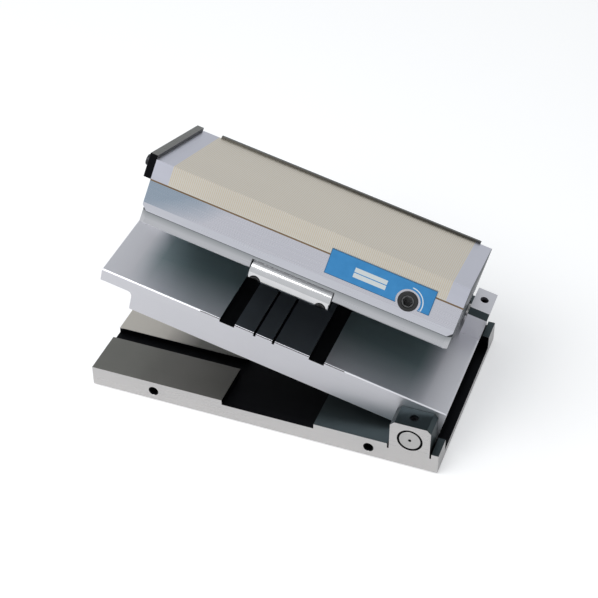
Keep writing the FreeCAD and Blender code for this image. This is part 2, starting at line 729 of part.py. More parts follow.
def sine_plate():
    body = new_body("sine_plate", ON_CHUCK)
    corner = d["sine_plate_chamfer"]
    plan = [
        (chuck_left + corner, sine_near),
        (chuck_right - corner, sine_near),
        (chuck_right, sine_near + corner),
        (chuck_right, chuck_far),
        (chuck_left, chuck_far),
        (chuck_left, sine_near + corner),
    ]
    pad(body, "XY_Plane", plan, sine_bottom, cover_bottom)
    lug_radius = upper_hinge_z - plate_top - d["lug_gap"]
    neck = rectangle(upper_hinge_y - lug_radius, chuck_far, upper_hinge_z, sine_bottom + BEYOND)
    lugs = ((chuck_left, chuck_left + d["lug_length"]), (chuck_right - d["lug_length"], chuck_right))
    for start, end in lugs:
        rod(body, "YZ_Plane", (upper_hinge_y, upper_hinge_z), lug_radius, start, end)
        pad(body, "YZ_Plane", neck, start, end)
    half_step = d["roller_length"] / 2 + d["roller_side_gap"]
    step = rectangle(
        plate_middle - half_step,
        plate_middle + half_step,
        sine_near - BEYOND,
        upper_roller_y + d["roller_radius"],
    )
    pocket(body, "XY_Plane", step, sine_bottom - BEYOND, upper_hinge_z + d["roller_radius"])
    bore = d["upper_pin_radius"] + d["running_gap"]
    for start, end in lugs:
        drill(body, "YZ_Plane", [(upper_hinge_y, upper_hinge_z)], bore, start - BEYOND, end + BEYOND)
    shank, head, height = SCREW_M5
    drill(body, "XY_Plane", sine_screws, shank, sine_bottom - BEYOND, cover_bottom + BEYOND)
    sunk_to = sine_bottom + HEAD_SINK + height
    drill(body, "XY_Plane", sine_screws, head + HEAD_GAP, sine_bottom - BEYOND, sunk_to)
    drill(body, "XY_Plane", upper_roller_screws, SCREW_M4[0], sine_bottom, cover_bottom + BEYOND)
    dress(body, "Chamfer", d["edge_break"], lambda edge: on_line(edge, {"y": sine_near, "z": sine_bottom}))


def upper_roller():
    half = d["roller_length"] / 2
    low = upper_hinge_z - d["roller_radius"]
    roller(
        "upper_sine_roller",
        "YZ_Plane",
        (upper_roller_y, upper_hinge_z),
        plate_middle - half,
        plate_middle + half,
        upper_roller_screws,
        low,
        ON_CHUCK,
    )
    seat = low + HEAD_SINK + SCREW_M4[2]
    reach = housing_bottom - BEYOND - seat
    screw = cap_screw(SCREW_M4, reach.value)
    group("upper_roller_screws", [placed(screw, (x, y, seat)) for x, y in upper_roller_screws], ON_CHUCK)


def sine_plate_screws():
    seat = sine_bottom + HEAD_SINK + SCREW_M5[2]
    reach = housing_bottom + THREAD_DEPTH - BEYOND - seat
    screw = cap_screw(SCREW_M5, reach.value)
    group("sine_plate_screws", [placed(screw, (x, y, seat)) for x, y in sine_screws], ON_CHUCK)


def bottom_cover():
    body = new_body("bottom_cover", ON_CHUCK)
    chamfer = d["cover_chamfer"]
    side_view = [
        (chuck_left + chamfer, cover_bottom),
        (chuck_right - chamfer, cover_bottom),
        (chuck_right, cover_bottom + chamfer),
        (chuck_right, housing_bottom),
        (chuck_left, housing_bottom),
        (chuck_left, cover_bottom + chamfer),
    ]
    pad(body, "XZ_Plane", side_view, chuck_near, chuck_far)
    drill(body, "XY_Plane", sine_screws, SCREW_M5[0], cover_bottom - BEYOND, housing_bottom + BEYOND)
    drill(body, "XY_Plane", upper_roller_screws, SCREW_M4[0], cover_bottom - BEYOND, housing_bottom - BEYOND)
    shank, head, height = SCREW_M4
    drill(body, "XY_Plane", cover_screws, shank, cover_bottom - BEYOND, housing_bottom + BEYOND)
    drill(body, "XY_Plane", cover_screws, head + HEAD_GAP, cover_bottom - BEYOND, cover_bottom + height)


def cover_fixings():
    screw = cap_screw(SCREW_M4, d["cover_thickness"].value - SCREW_M4[2] + THREAD_DEPTH - BEYOND)
    seat = cover_bottom + SCREW_M4[2]
    group("cover_screws", [placed(screw, (x, y, seat)) for x, y in cover_screws], ON_CHUCK)


def chuck_housing():
    body = new_body("chuck_housing", ON_CHUCK)
    outline = rectangle(chuck_left, chuck_right, chuck_near, chuck_far)
    pad(body, "XY_Plane", outline, housing_bottom, housing_top)
    cavity = rectangle(cavity_left, cavity_right, cavity_near, cavity_far)
    pocket(body, "XY_Plane", cavity, housing_bottom - BEYOND, housing_top + BEYOND)
    drill(
        body, "XZ_Plane", [(switch_x, switch_z)], d["bush_radius"], chuck_near - BEYOND, cavity_near + BEYOND
    )
    drill(body, "XY_Plane", sine_screws, SCREW_M5[0], housing_bottom - BEYOND, housing_bottom + THREAD_DEPTH)
    drill(body, "XY_Plane", cover_screws, SCREW_M4[0], housing_bottom - BEYOND, housing_bottom + THREAD_DEPTH)
    shank, head, height = SCREW_M5
    drill(body, "XY_Plane", top_screws, shank, housing_bottom - BEYOND, housing_top + BEYOND)
    drill(body, "XY_Plane", top_screws, head + HEAD_GAP, housing_bottom - BEYOND, housing_bottom + height)
    drill(body, "XZ_Plane", rail_screws, shank, chuck_far - THREAD_DEPTH, chuck_far + BEYOND)


def separator_sheet():
    body = new_body("separator_sheet", ON_CHUCK)
    pad(body, "XY_Plane", rectangle(chuck_left, chuck_right, chuck_near, chuck_far), housing_top, top_bottom)
    drill(body, "XY_Plane", top_screws, SCREW_M5[0], housing_top - BEYOND, top_bottom + BEYOND)


pole_left = chuck_left + d["pole_margin"]
pole_length = chuck_right - chuck_left - d["pole_margin"] * 2
pole_pitch = pole_length / d["spacer_count"]
slot_floor = top_bottom + d["pole_web"]


def top_plate():
    """The steel pole plate: one fine slot across it, repeated along its length."""
    body = new_body("top_plate", ON_CHUCK)
    pad(body, "XY_Plane", rectangle(chuck_left, chuck_right, chuck_near, chuck_far), top_bottom, work_face)
    first = pole_left + (pole_pitch - d["spacer_width"]) / 2
    slot = rectangle(first, first + d["spacer_width"], slot_floor, work_face + BEYOND)
    cut = pocket(body, "XZ_Plane", slot, chuck_near - BEYOND, chuck_far + BEYOND)
    row = body.newObject("PartDesign::LinearPattern", "top_plate_slots")
    row.Originals = [cut]
    x_axis = next(part for part in body.Origin.OriginFeatures if part.Role == "X_Axis")
    row.Direction = (x_axis, [""])
    bind(row, "Length", pole_length - pole_pitch)
    bind(row, "Occurrences", d["spacer_count"])
    body.Tip = row
    drill(body, "XY_Plane", top_screws, SCREW_M5[0], top_bottom - BEYOND, top_bottom + THREAD_DEPTH)
    drill(body, "YZ_Plane", stop_screws, SCREW_M5[0], chuck_left - BEYOND, chuck_left + THREAD_DEPTH)


def pole_spacers():
    strips = []
    for index in range(int(d["spacer_count"].value)):
        left = pole_left + pole_pitch * index + (pole_pitch - d["spacer_width"]) / 2
        strips.append(block(left, left + d["spacer_width"], chuck_near, chuck_far, slot_floor, work_face))
    group("pole_spacers", strips, ON_CHUCK)


def top_plate_screws():
    seat = housing_bottom + SCREW_M5[2]
    reach = top_bottom + THREAD_DEPTH - BEYOND - seat
    screw = cap_screw(SCREW_M5, reach.value)
    group("top_plate_screws", [placed(screw, (x, y, seat)) for x, y in top_screws], ON_CHUCK)


def name_plate():
    body = new_body("name_plate", ON_CHUCK)
    left = chuck_right - d["name_plate_left"]
    high = work_face - d["name_plate_top"]
    front = chuck_near - d["name_plate_thickness"]
    outline = rectangle(left, left + d["name_plate_length"], high - d["name_plate_height"], high)
    pad(body, "XZ_Plane", outline, front, chuck_near)
    switch_centre = [(switch_x, switch_z)]
    drill(body, "XZ_Plane", switch_centre, d["name_plate_notch"], front - BEYOND, chuck_near + BEYOND)


# ---------------------------------------------------------------- chuck stage: the switch and the magnets


carrier_bottom = housing_bottom + d["runner_thickness"] + d["carrier_gap"]
carrier_top = housing_top - d["carrier_headroom"]
carrier_travel = d["crank_throw"] * 2
carrier_left = cavity_left + d["carrier_end_gap"]
carrier_right = cavity_right - d["carrier_end_gap"] - carrier_travel
web_back = cavity_near + d["crank_gap"] + d["crank_web"]
carrier_near = web_back + d["crank_clearance"]
carrier_far = cavity_far - d["carrier_end_gap"]
window_left = carrier_left + d["carrier_end"]
window_right = carrier_right - d["carrier_end"]
window_near = carrier_near + d["carrier_rail"]
window_far = carrier_far - d["carrier_rail"]


def shaft_bush():
    body = new_body("shaft_bush", ON_CHUCK)
    centre = (switch_x, switch_z)
    rod(body, "XZ_Plane", centre, d["bush_radius"], chuck_near - d["bush_flange"] / 2, cavity_near)
    rod(body, "XZ_Plane", centre, d["bush_flange_radius"], chuck_near - d["bush_flange"], chuck_near)
    inside = d["shaft_radius"] + d["running_gap"]
    drill(body, "XZ_Plane", [centre], inside, chuck_near - d["bush_flange"] - BEYOND, cavity_near + BEYOND)
    dress(
        body,
        "Chamfer",
        d["bush_flange"] / 2,
        lambda edge: is_circle(edge, d["bush_flange_radius"], {"y": chuck_near - d["bush_flange"]}),
    )


def switch_shaft():
    """The shaft with its hexagon socket outside, and inside a web and a crank pin off the axis."""
    body = new_body("switch_shaft", ON_CHUCK)
    centre = (switch_x, switch_z)
    front = chuck_near - d["bush_flange"] / 2
    web_front = web_back - d["crank_web"]
    rod(body, "XZ_Plane", centre, d["shaft_radius"], front, web_front + BEYOND)
    rod(body, "XZ_Plane", centre, d["crank_web_radius"], web_front, web_back)
    pin_centre = (switch_x - d["crank_throw"], switch_z)
    pin_end = web_back + d["crank_pin_length"]
    rod(body, "XZ_Plane", pin_centre, d["crank_pin_radius"], web_back - BEYOND, pin_end)
    corner = d["socket_flats"] / math.sqrt(3)
    socket = [
        (
            switch_x + corner * math.cos(math.radians(60 * k)),
            switch_z + corner * math.sin(math.radians(60 * k)),
        )
        for k in range(6)
    ]
    pocket(body, "XZ_Plane", socket, front - BEYOND, front + d["socket_depth"])

    def ring(sketch):
        draw_circle(sketch, centre, d["shaft_radius"] + BEYOND)
        draw_circle(sketch, centre, d["shaft_radius"] - d["seal_groove_depth"])

    feature(body, "Pocket", "XZ_Plane", seal_front, seal_front + d["seal_width"], ring)
    dress(
        body, "Chamfer", d["edge_break"] / 2, lambda edge: is_circle(edge, d["shaft_radius"], {"y": front})
    )


seal_front = chuck_near + d["socket_depth"]


def shaft_seal():
    body = new_body("shaft_seal", ON_CHUCK)
    centre = (switch_x, switch_z)
    outside = d["shaft_radius"] + d["running_gap"] / 2
    rod(body, "XZ_Plane", centre, outside, seal_front, seal_front + d["seal_width"])
    inside = d["shaft_radius"] - d["seal_groove_depth"]
    drill(body, "XZ_Plane", [centre], inside, seal_front - BEYOND, seal_front + d["seal_width"] + BEYOND)


def carrier_runners():
    near = carrier_near + BEYOND
    far = carrier_far - BEYOND
    width = d["runner_width"]
    rows = ((near, near + width), (far - width, far))
    high = housing_bottom + d["runner_thickness"]
    strips = [block(cavity_left, cavity_right, start, end, housing_bottom, high) for start, end in rows]
    group("carrier_runners", strips, ON_CHUCK)


def magnet_carrier():
    """The sliding frame: a window for the bars, and an upright slot that the crank pin works in."""
    body = new_body("magnet_carrier", ON_CHUCK)
    outline = rectangle(carrier_left, carrier_right, carrier_near, carrier_far)
    pad(body, "XY_Plane", outline, carrier_bottom, carrier_top)
    window = rectangle(window_left, window_right, window_near, window_far)
    pocket(body, "XY_Plane", window, carrier_bottom - BEYOND, carrier_top + BEYOND)
    slot_middle = switch_x - d["crank_throw"]
    half = d["crank_pin_radius"] + d["crank_play"]
    slot_top = switch_z + d["crank_throw"] + d["crank_pin_radius"] + d["carrier_headroom"]
    slot = rectangle(slot_middle - half, slot_middle + half, carrier_bottom - BEYOND, slot_top)
    slot_end = web_back + d["crank_pin_length"] + d["crank_pin_end_gap"]
    pocket(body, "XZ_Plane", slot, carrier_near - BEYOND, slot_end)


def carrier_bars():
    """Steel poles and magnets side by side across the carrier's window, poles at both ends."""
    count = int(d["bar_count"].value)
    width = (window_right - window_left) / d["bar_count"]
    bars = {0: [], 1: []}
    for index in range(count):
        left = window_left + width * index
        bar = block(left, left + width, window_near, window_far, carrier_bottom, carrier_top)
        bars[index % 2].append(bar)
    group("carrier_poles", bars[0], ON_CHUCK)
    group("magnet_bars", bars[1], ON_CHUCK)


# ---------------------------------------------------------------- chuck stage: stops

stop_near = chuck_near + d["stop_near_inset"]
stop_far = chuck_far - d["stop_far_inset"]
stop_screw_z = work_face - d["top_thickness"] / 2
stop_screws = [
    (stop_near + d["stop_screw_inset"], stop_screw_z),
    (stop_far - d["stop_screw_inset"], stop_screw_z),
]
rail_screw_z = housing_top - d["rail_screw_drop"]
rail_screws = [(plate_middle + d["rail_screw_spacing"] * side, rail_screw_z) for side in (-1, 0, 1)]


def slot_corners(centre):
    """An upright slot for a screw, long enough for the whole slide of the piece that has it."""
    half = d["slot_gap"] + SCREW_M5[0]
    u, v = centre
    return rectangle(u - half, u + half, v - half - d["slide_up"], v + half + d["slide_down"])


def end_stop():
    body = new_body("end_stop", ON_CHUCK)
    back = chuck_left - d["slide_gap"]
    front = back - d["stop_thickness"]
    outline = rectangle(stop_near, stop_far, work_face - d["stop_drop"], work_face + d["stop_rise"])
    pad(body, "YZ_Plane", outline, front, back)
    for centre in stop_screws:
        pocket(body, "YZ_Plane", slot_corners(centre), front - BEYOND, back + BEYOND)
    dress(
        body,
        "Chamfer",
        d["edge_break"] / 2,
        lambda edge: on_line(edge, {"x": front, "z": work_face + d["stop_rise"]})
        or on_line(edge, {"x": front, "y": stop_near}),
    )
    seat = front - d["slide_gap"]
    screw = cap_screw(SCREW_M5, (chuck_left + THREAD_DEPTH - BEYOND - seat).value)
    group("end_stop_screws", [placed(screw, (seat, y, z), (1, 0, 0)) for y, z in stop_screws], ON_CHUCK)


def back_rail():
    body = new_body("back_rail", ON_CHUCK)
    front = chuck_far + d["slide_gap"]
    back = front + d["rail_thickness"]
    left = chuck_left + d["rail_left_margin"]
    right = chuck_right - d["rail_right_margin"]
    outline = rectangle(left, right, work_face - d["rail_drop"], work_face + d["rail_rise"])
    pad(body, "XZ_Plane", outline, front, back)
    for centre in rail_screws:
        pocket(body, "XZ_Plane", slot_corners(centre), front - BEYOND, back + BEYOND)
    seat = back + d["slide_gap"]
    screw = cap_screw(SCREW_M5, (seat - chuck_far + THREAD_DEPTH - BEYOND).value)
    group("back_rail_screws", [placed(screw, (x, seat, z), (0, -1, 0)) for x, z in rail_screws], ON_CHUCK)


# ---------------------------------------------------------------- build, check and write

for make in (
    base_plate,
    lower_hinge_pins,
    ear_clamp_screws,
    swivel_plate,
    lower_roller,
    upper_hinge_pins,
    block_clamp_screws,
    sine_plate,
    upper_roller,
    sine_plate_screws,
    bottom_cover,
    cover_fixings,
    chuck_housing,
    separator_sheet,
    top_plate,
    pole_spacers,
    top_plate_screws,
    name_plate,
    shaft_bush,
    switch_shaft,
    shaft_seal,
    carrier_runners,
    magnet_carrier,
    carrier_bars,
    end_stop,
    back_rail,
):
    make()

doc.recompute()
for piece, placement in pieces:
    piece.Placement = placement
doc.recompute()

faults = [item.Label for item in doc.Objects if "Invalid" in item.State or "Error" in item.State]
faults += [piece.Label for piece, _ in pieces if piece.Shape.isNull() or not piece.Shape.isValid()]
if faults:
    sys.exit("not built: " + ", ".join(faults))

os.makedirs("parts", exist_ok=True)
for piece, _ in pieces:
    piece.Shape.exportStep(f"parts/{piece.Label}.step")
    print(piece.Label, len(piece.Shape.Solids), round(piece.Shape.Volume, 1))
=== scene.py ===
import math

import bmesh
import bpy
import json
from mathutils import Matrix, Vector

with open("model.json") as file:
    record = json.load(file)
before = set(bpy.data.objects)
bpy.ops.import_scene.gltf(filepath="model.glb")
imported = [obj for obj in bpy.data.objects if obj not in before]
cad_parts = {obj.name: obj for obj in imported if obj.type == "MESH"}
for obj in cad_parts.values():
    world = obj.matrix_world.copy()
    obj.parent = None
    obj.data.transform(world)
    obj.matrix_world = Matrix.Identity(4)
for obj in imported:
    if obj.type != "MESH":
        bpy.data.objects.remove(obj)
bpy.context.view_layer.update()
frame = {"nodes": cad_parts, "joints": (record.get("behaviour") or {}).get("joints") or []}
MM = 0.001

# ------------------------------------------------------------------------------ the two tilts
# The swivel plate turns on the lower hinge and the chuck on the upper one. Each stage has its own square
# axes, with X along its length and Z out of its top face. A tilting stage has its origin on its hinge.

joint = {one["name"]: one for one in frame["joints"]}
lower_tilt = -math.radians(joint["lengthwise_tilt"]["range_deg"][0])
upper_tilt = -math.radians(joint["cross_tilt"]["range_deg"][0])
lower_hinge = Vector(joint["lengthwise_tilt"]["pos_m"])
upper_hinge = Vector(joint["cross_tilt"]["pos_m"])
base_axes = Matrix.Identity(4)
lower_turn = Matrix.Rotation(lower_tilt, 4, "Y")
plate_axes = Matrix.Translation(lower_hinge) @ lower_turn
upper_turn = Matrix.Rotation(upper_tilt, 4, Vector((-1, 0, 0)))
chuck_axes = Matrix.Translation(upper_hinge) @ lower_turn @ upper_turn


def corners(node, axes):
    """The lowest and highest corners of a node in a stage's own axes."""
    inward = axes.inverted()
    points = [inward @ vertex.co for vertex in frame["nodes"][node].data.vertices]
    low = Vector([min(point[k] for point in points) for k in range(3)])
    high = Vector([max(point[k] for point in points) for k in range(3)])
    return low, high


# ------------------------------------------------------------------------------ camera
# A long lens looks down on the near side from a little to the right, as at a catalogue table.

azimuth = math.radians(20.26)
elevation = math.radians(39.46)
roll = math.radians(0.155)
backward = Vector(
    (
        math.sin(azimuth) * math.cos(elevation),
        -math.cos(azimuth) * math.cos(elevation),
        math.sin(elevation),
    )
)
rightward = Vector((math.cos(azimuth), math.sin(azimuth), 0))
upward = backward.cross(rightward)
look_at = Vector((-0.15, -0.73, 50.5)) * MM
stand = look_at + (backward * 1236.1 + rightward * 1.88 + upward * 12.22) * MM
lens = bpy.data.cameras.new("catalogue_lens")
lens.lens = 93.39
lens.sensor_width = 36
camera = bpy.data.objects.new("catalogue_camera", lens)
bpy.context.collection.objects.link(camera)
facing = Matrix((rightward, upward, backward)).transposed().to_4x4()
camera.matrix_world = Matrix.Translation(stand) @ facing @ Matrix.Rotation(roll, 4, "Z")
bpy.context.scene.camera = camera
bpy.context.scene.view_settings.view_transform = "Standard"

# ------------------------------------------------------------------------------ finishes in general
# Each finish is one Principled surface. A wire stands for a socket that varies over the surface, and
# arithmetic on wires adds the nodes for it. A mask is a wire that is 1 inside a region and 0 outside it.


class Wire:
    """A socket of a finish that Python's arithmetic works on."""

    def __init__(self, finish, socket):
        self.finish = finish
        self.socket = socket

    def math(self, operation, *values):
        sockets = dict(enumerate(values))
        return self.finish.node("ShaderNodeMath", {"operation": operation}, sockets)

    def __add__(self, other):
        return self.math("ADD", self, other)

    def __radd__(self, other):
        return self.math("ADD", other, self)

    def __sub__(self, other):
        return self.math("SUBTRACT", self, other)

    def __rsub__(self, other):
        return self.math("SUBTRACT", other, self)

    def __mul__(self, other):
        return self.math("MULTIPLY", self, other)

    def __rmul__(self, other):
        return self.math("MULTIPLY", other, self)

    def __truediv__(self, other):
        return self.math("DIVIDE", self, other)

    def __lt__(self, other):
        return self.math("LESS_THAN", self, other)

    def __gt__(self, other):
        return self.math("GREATER_THAN", self, other)

    def either(self, other):
        return self.math("MAXIMUM", self, other)

    def size(self):
        return self.math("ABSOLUTE", self)

    def radius(self, other):
        """The distance from an axis, from the distances along two directions square to it."""
        return self.math("SQRT", self * self + other * other)

    def ramp(self, start, end):
        """0 at start, 1 at end, and held beyond both."""
        rise = (self - start) / (end - start)
        return self.math("MAXIMUM", self.math("MINIMUM", rise, 1.0), 0.0)


class Finish:
    """A material whose surface varies by nodes. Values the same all over are set on the shader's sockets."""

    def __init__(self, name, **constants):
        self.material = bpy.data.materials.new(name)
        self.material.use_nodes = True
        self.tree = self.material.node_tree
        self.shader = self.tree.nodes["Principled BSDF"]
        for socket, value in constants.items():
            self.shader.inputs[socket.replace("_", " ")].default_value = value

    def node(self, kind, settings, sockets, output=0):
        """A node: its settings first, then the values or wires of its sockets."""
        made = self.tree.nodes.new(kind)
        for name, value in settings.items():
            if name == "stops":
                self.set_stops(made.color_ramp, value)
            else:
                setattr(made, name, value)
        for key, value in sockets.items():
            self.join(value, made.inputs[key])
        return Wire(self, made.outputs[output])

    def set_stops(self, ramp, stops):
        while len(ramp.elements) < len(stops):
            ramp.elements.new(0.5)
        for element, (place, colour) in zip(ramp.elements, stops):
            element.position = place
            element.color = colour

    def join(self, value, socket):
        if isinstance(value, Wire):
            self.tree.links.new(value.socket, socket)
        else:
            socket.default_value = value

    def vary(self, **wires):
        for socket, wire in wires.items():
            self.join(wire, self.shader.inputs[socket.replace("_", " ")])

    def place(self, axes):
        """Where a point lies in a stage's own axes, as one vector wire."""
        spot = self.node("ShaderNodeTexCoord", {}, {}, "Object")
        turn = {"Location": axes.to_translation(), "Rotation": axes.to_euler()}
        return self.node("ShaderNodeMapping", {"vector_type": "TEXTURE"}, {"Vector": spot, **turn})

    def split(self, vector):
        """The three numbers of a vector wire."""
        first = self.node("ShaderNodeSeparateXYZ", {}, {"Vector": vector})
        outputs = first.socket.node.outputs
        return [Wire(self, outputs[k]) for k in range(3)]

    def noise(self, vector, scale, detail=2.0, roughness=0.5):
        """Cloudy noise from 0 to 1, stretched by a different scale along each axis."""
        factors = {0: vector, 1: Vector(scale)}
        stretched = self.node("ShaderNodeVectorMath", {"operation": "MULTIPLY"}, factors)
        sockets = {"Vector": stretched, "Scale": 1.0, "Detail": detail, "Roughness": roughness}
        return self.node("ShaderNodeTexNoise", {}, sockets, "Fac")

    def blend(self, factor, first, second):
        """One colour or the other by a factor."""
        made = self.node("ShaderNodeMix", {"data_type": "RGBA"}, {"Factor": factor}, 2)
        self.join(first, made.socket.node.inputs[6])
        self.join(second, made.socket.node.inputs[7])
        return made

    def bump(self, height, distance, strength=1.0):
        sockets = {"Height": height, "Distance": distance, "Strength": strength}
        return self.node("ShaderNodeBump", {}, sockets, "Normal")


def wear(node, finish):
    """Gives a CAD node its finish."""
    slots = frame["nodes"][node].data.materials
    slots.clear()
    slots.append(finish.material)


def rgb(red, green, blue):
    return (red, green, blue, 1.0)


# ------------------------------------------------------------------------------ base plate
# A thick plate of hardened steel with two ears for the lower hinge. All faces are ground, with fine marks
# along its length. The floors of the recesses and grooves are blackened and painted near black for the
# shade in them too. The top faces are painted darker as a painted reflection, the seat lighter towards
# the left as a painted reflection, and the ears dark as painted shade.


def ground_steel(name, axes, light, dull, zones=(), gloss=0.2):
    """Ground steel with marks along a stage's X axis. A zone has a mask, two colours and more roughness."""
    finish = Finish(name, Metallic=1.0)
    spot = finish.place(axes)
    marks = finish.noise(spot, (14, 1500, 1500), 3.0, 0.6)
    clouds = finish.noise(spot, (22, 30, 30), 2.0)
    grain = clouds * 0.6 + marks * 0.4
    colour = finish.blend(grain, dull, light)
    rough = gloss + marks * 0.12 + clouds * 0.06
    for mask, zone_light, zone_dull, extra in zones:
        inside = mask(finish, spot)
        colour = finish.blend(inside, colour, finish.blend(grain, zone_dull, zone_light))
        rough = rough + inside * extra
    finish.vary(Base_Color=colour, Roughness=rough, Normal=finish.bump(marks, 0.00001, 0.5))
    return finish


steel_light = rgb(0.72, 0.70, 0.69)
steel_dull = rgb(0.62, 0.605, 0.60)
relief_light = rgb(0.012, 0.013, 0.015)
relief_dull = rgb(0.004, 0.004, 0.005)
painted_shade_light = rgb(0.075, 0.095, 0.10)
painted_shade_dull = rgb(0.045, 0.06, 0.065)
base_low, base_high = corners("base_plate", base_axes)
base_top = 18 * MM
base_seat_half_width = 31 * MM
seat_reflection_full_to = base_low.x + 40 * MM
seat_reflection_from = base_low.x + 70 * MM
hinge_land_left = lower_hinge.x - 77 * MM
skin = 0.05 * MM
thin_skin = 0.02 * MM
ring_inner = 8.95 * MM
ring_outer = 10.1 * MM
ring_depth = 0.9 * MM


def level_with(height, top):
    """Where a surface lies level with a top face."""
    return (height > top - thin_skin) * (height < top + skin)


def base_relief(finish, spot):
    """The recess across the base, the grooves beside the seat and the recess under the heel, blackened and
    painted near black for the shade in them too.
    """
    x, y, z = finish.split(spot)
    inside = (y.size() < base_high.y - skin) * (x < base_high.x - skin) * (x > base_low.x + skin)
    sunk = (z < base_top - 0.4 * MM) * (z > base_low.z + 5 * MM)
    return inside * sunk


def shaded_base_lands(finish, spot):
    """The ground top faces, painted darker as a painted reflection of the dark surroundings."""
    x, y, z = finish.split(spot)
    return level_with(z, base_top)


def base_seat_reflection(finish, spot):
    """The gauge block seat, painted lighter towards the left as a painted reflection of the white backdrop.
    """
    x, y, z = finish.split(spot)
    reflection_strength = x.ramp(seat_reflection_from, seat_reflection_full_to)
    return level_with(z, base_top) * (y.size() < base_seat_half_width) * reflection_strength


def shaded_hinge_lands(finish, spot):
    """The top face by the hinge and all of the ears but their near and far faces, painted dark as painted
    shade.
    """
    x, y, z = finish.split(spot)
    level = (z > base_top - thin_skin) * (x > hinge_land_left)
    return level * (y.size() < base_high.y - skin)


def pin_ring(finish, spot):
    """The dark line round the head of each lower hinge pin."""
    x, y, z = finish.split(spot)
    across = (x - lower_hinge.x).radius(z - lower_hinge.z)
    return (across < ring_outer) * (across > ring_inner) * (y.size() > base_high.y - ring_depth)


base_zones = (
    (shaded_base_lands, rgb(0.24, 0.235, 0.215), rgb(0.17, 0.17, 0.155), 0.08),
    (base_seat_reflection, rgb(0.66, 0.62, 0.56), rgb(0.58, 0.55, 0.50), 0.0),
    (shaded_hinge_lands, painted_shade_light, painted_shade_dull, 0.1),
    (base_relief, relief_light, relief_dull, 0.2),
    (pin_ring, relief_light, relief_dull, 0.3),
)
wear("base_plate", ground_steel("ground_base", base_axes, steel_light, steel_dull, base_zones))

# ------------------------------------------------------------------------------ lower hinge pins
# Turned and ground stub pins, pressed into the ears with their flat heads showing, each held by a set
# screw from above. The upper hinge's pins and all of the black screws are finished here too.

pin_centre_radius = 1.3 * MM
pin_edge_radius = 8.3 * MM
turning_rings = 9000.0


def turned_steel(name, axes, light=rgb(0.62, 0.61, 0.59), dull=rgb(0.48, 0.475, 0.47)):
    finish = Finish(name, Metallic=1.0)
    spot = finish.place(axes)
    clouds = finish.noise(spot, (300, 300, 300), 3.0)
    finish.vary(Base_Color=finish.blend(clouds, dull, light), Roughness=0.22 + clouds * 0.12)
    return finish


def pin_face(name):
    """Turned steel with fine rings round the hinge axis, a centre hole painted dark as painted shade, and a
    dark joint line round its edge.
    """
    finish = Finish(name, Metallic=1.0)
    spot = finish.place(base_axes)
    x, y, z = finish.split(spot)
    across = (x - lower_hinge.x).radius(z - lower_hinge.z)
    rings = across.math("SINE", across * turning_rings) * 0.5 + 0.5
    clouds = finish.noise(spot, (300, 300, 300), 3.0)
    colour = finish.blend(rings * 0.5 + clouds * 0.5, rgb(0.50, 0.495, 0.49), rgb(0.68, 0.665, 0.65))
    # The centre hole is painted shade; the dark edge is the joint line round the head.
    dark = (across < pin_centre_radius).either(across > pin_edge_radius)
    colour = finish.blend(dark, colour, rgb(0.01, 0.01, 0.01))
    finish.vary(Base_Color=colour, Roughness=0.26 + clouds * 0.12, Normal=finish.bump(rings, 0.00001, 0.4))
    return finish


for pin in ("lower_hinge_pin_near", "lower_hinge_pin_far"):
    wear(pin, pin_face(pin + "_steel"))
for pin in ("upper_hinge_pin_left", "upper_hinge_pin_right"):
    wear(pin, turned_steel(pin + "_steel", plate_axes))


def black_oxide(name):
    finish = Finish(name, Metallic=1.0)
    spot = finish.place(base_axes)
    clouds = finish.noise(spot, (700, 700, 700), 3.0)
    colour = finish.blend(clouds, rgb(0.03, 0.03, 0.033), rgb(0.075, 0.075, 0.08))
    finish.vary(Base_Color=colour, Roughness=0.3 + clouds * 0.2)
    return finish


screw_black = black_oxide("black_oxide_screws")
for screws in (
    "ear_clamp_screws",
    "block_clamp_screws",
    "lower_roller_screws",
    "upper_roller_screws",
    "sine_plate_screws",
    "cover_screws",
    "top_plate_screws",
    "end_stop_screws",
    "back_rail_screws",
):
    wear(screws, screw_black)

# ------------------------------------------------------------------------------ swivel plate
# The tilting plate, ground all over, with two hinge blocks and a gauge block seat between blackened
# grooves, painted near black for the shade in them too. Painted shade darkens its top face under the chuck.

plate_low, plate_high = corners("swivel_plate", plate_axes)
plate_top = 20.3 * MM
plate_middle = (plate_low.x + plate_high.x) / 2
relief_half_length = 60 * MM
relief_depth = 4 * MM
seat_half_length = 31.5 * MM
shaded_half_length = 108 * MM
unshaded_half_length = 124 * MM
shade_near = -56 * MM
shade_far = -12 * MM
block_height = 25 * MM
block_near_reach = 18.1 * MM
block_chamfer = 4.2 * MM


def plate_relief(finish, spot):
    """The grooves and slits of the seat, blackened and painted near black for the shade in them too."""
    x, y, z = finish.split(spot)
    inside = (y.size() < plate_high.y - skin) * ((x - plate_middle).size() < relief_half_length)
    return inside * (z < plate_top - 0.3 * MM) * (z > plate_top - relief_depth)


def shade_under_chuck(finish, spot):
    """Painted shade on the top face under the chuck, fading out towards the ends and the near edge."""
    x, y, z = finish.split(spot)
    from_middle = (x - plate_middle).size()
    sides = from_middle.ramp(unshaded_half_length, shaded_half_length)
    return level_with(z, plate_top) * sides * (y + from_middle * 0.12).ramp(shade_near, shade_far)


def seat_land(finish, spot):
    """The gauge block seat between the grooves, of darker oxided steel."""
    x, y, z = finish.split(spot)
    return ((x - plate_middle).size() < seat_half_length) * (z > plate_top - thin_skin)


def shaded_block_chamfers(finish, spot):
    """The near chamfers at the top of the hinge blocks, painted dark as painted shade."""
    x, y, z = finish.split(spot)
    height = z - (plate_top + block_height)
    depth = y - (upper_hinge.y - block_near_reach)
    cut = (height < -thin_skin) * (height > -block_chamfer) * (depth > thin_skin)
    return cut * (depth < block_chamfer)


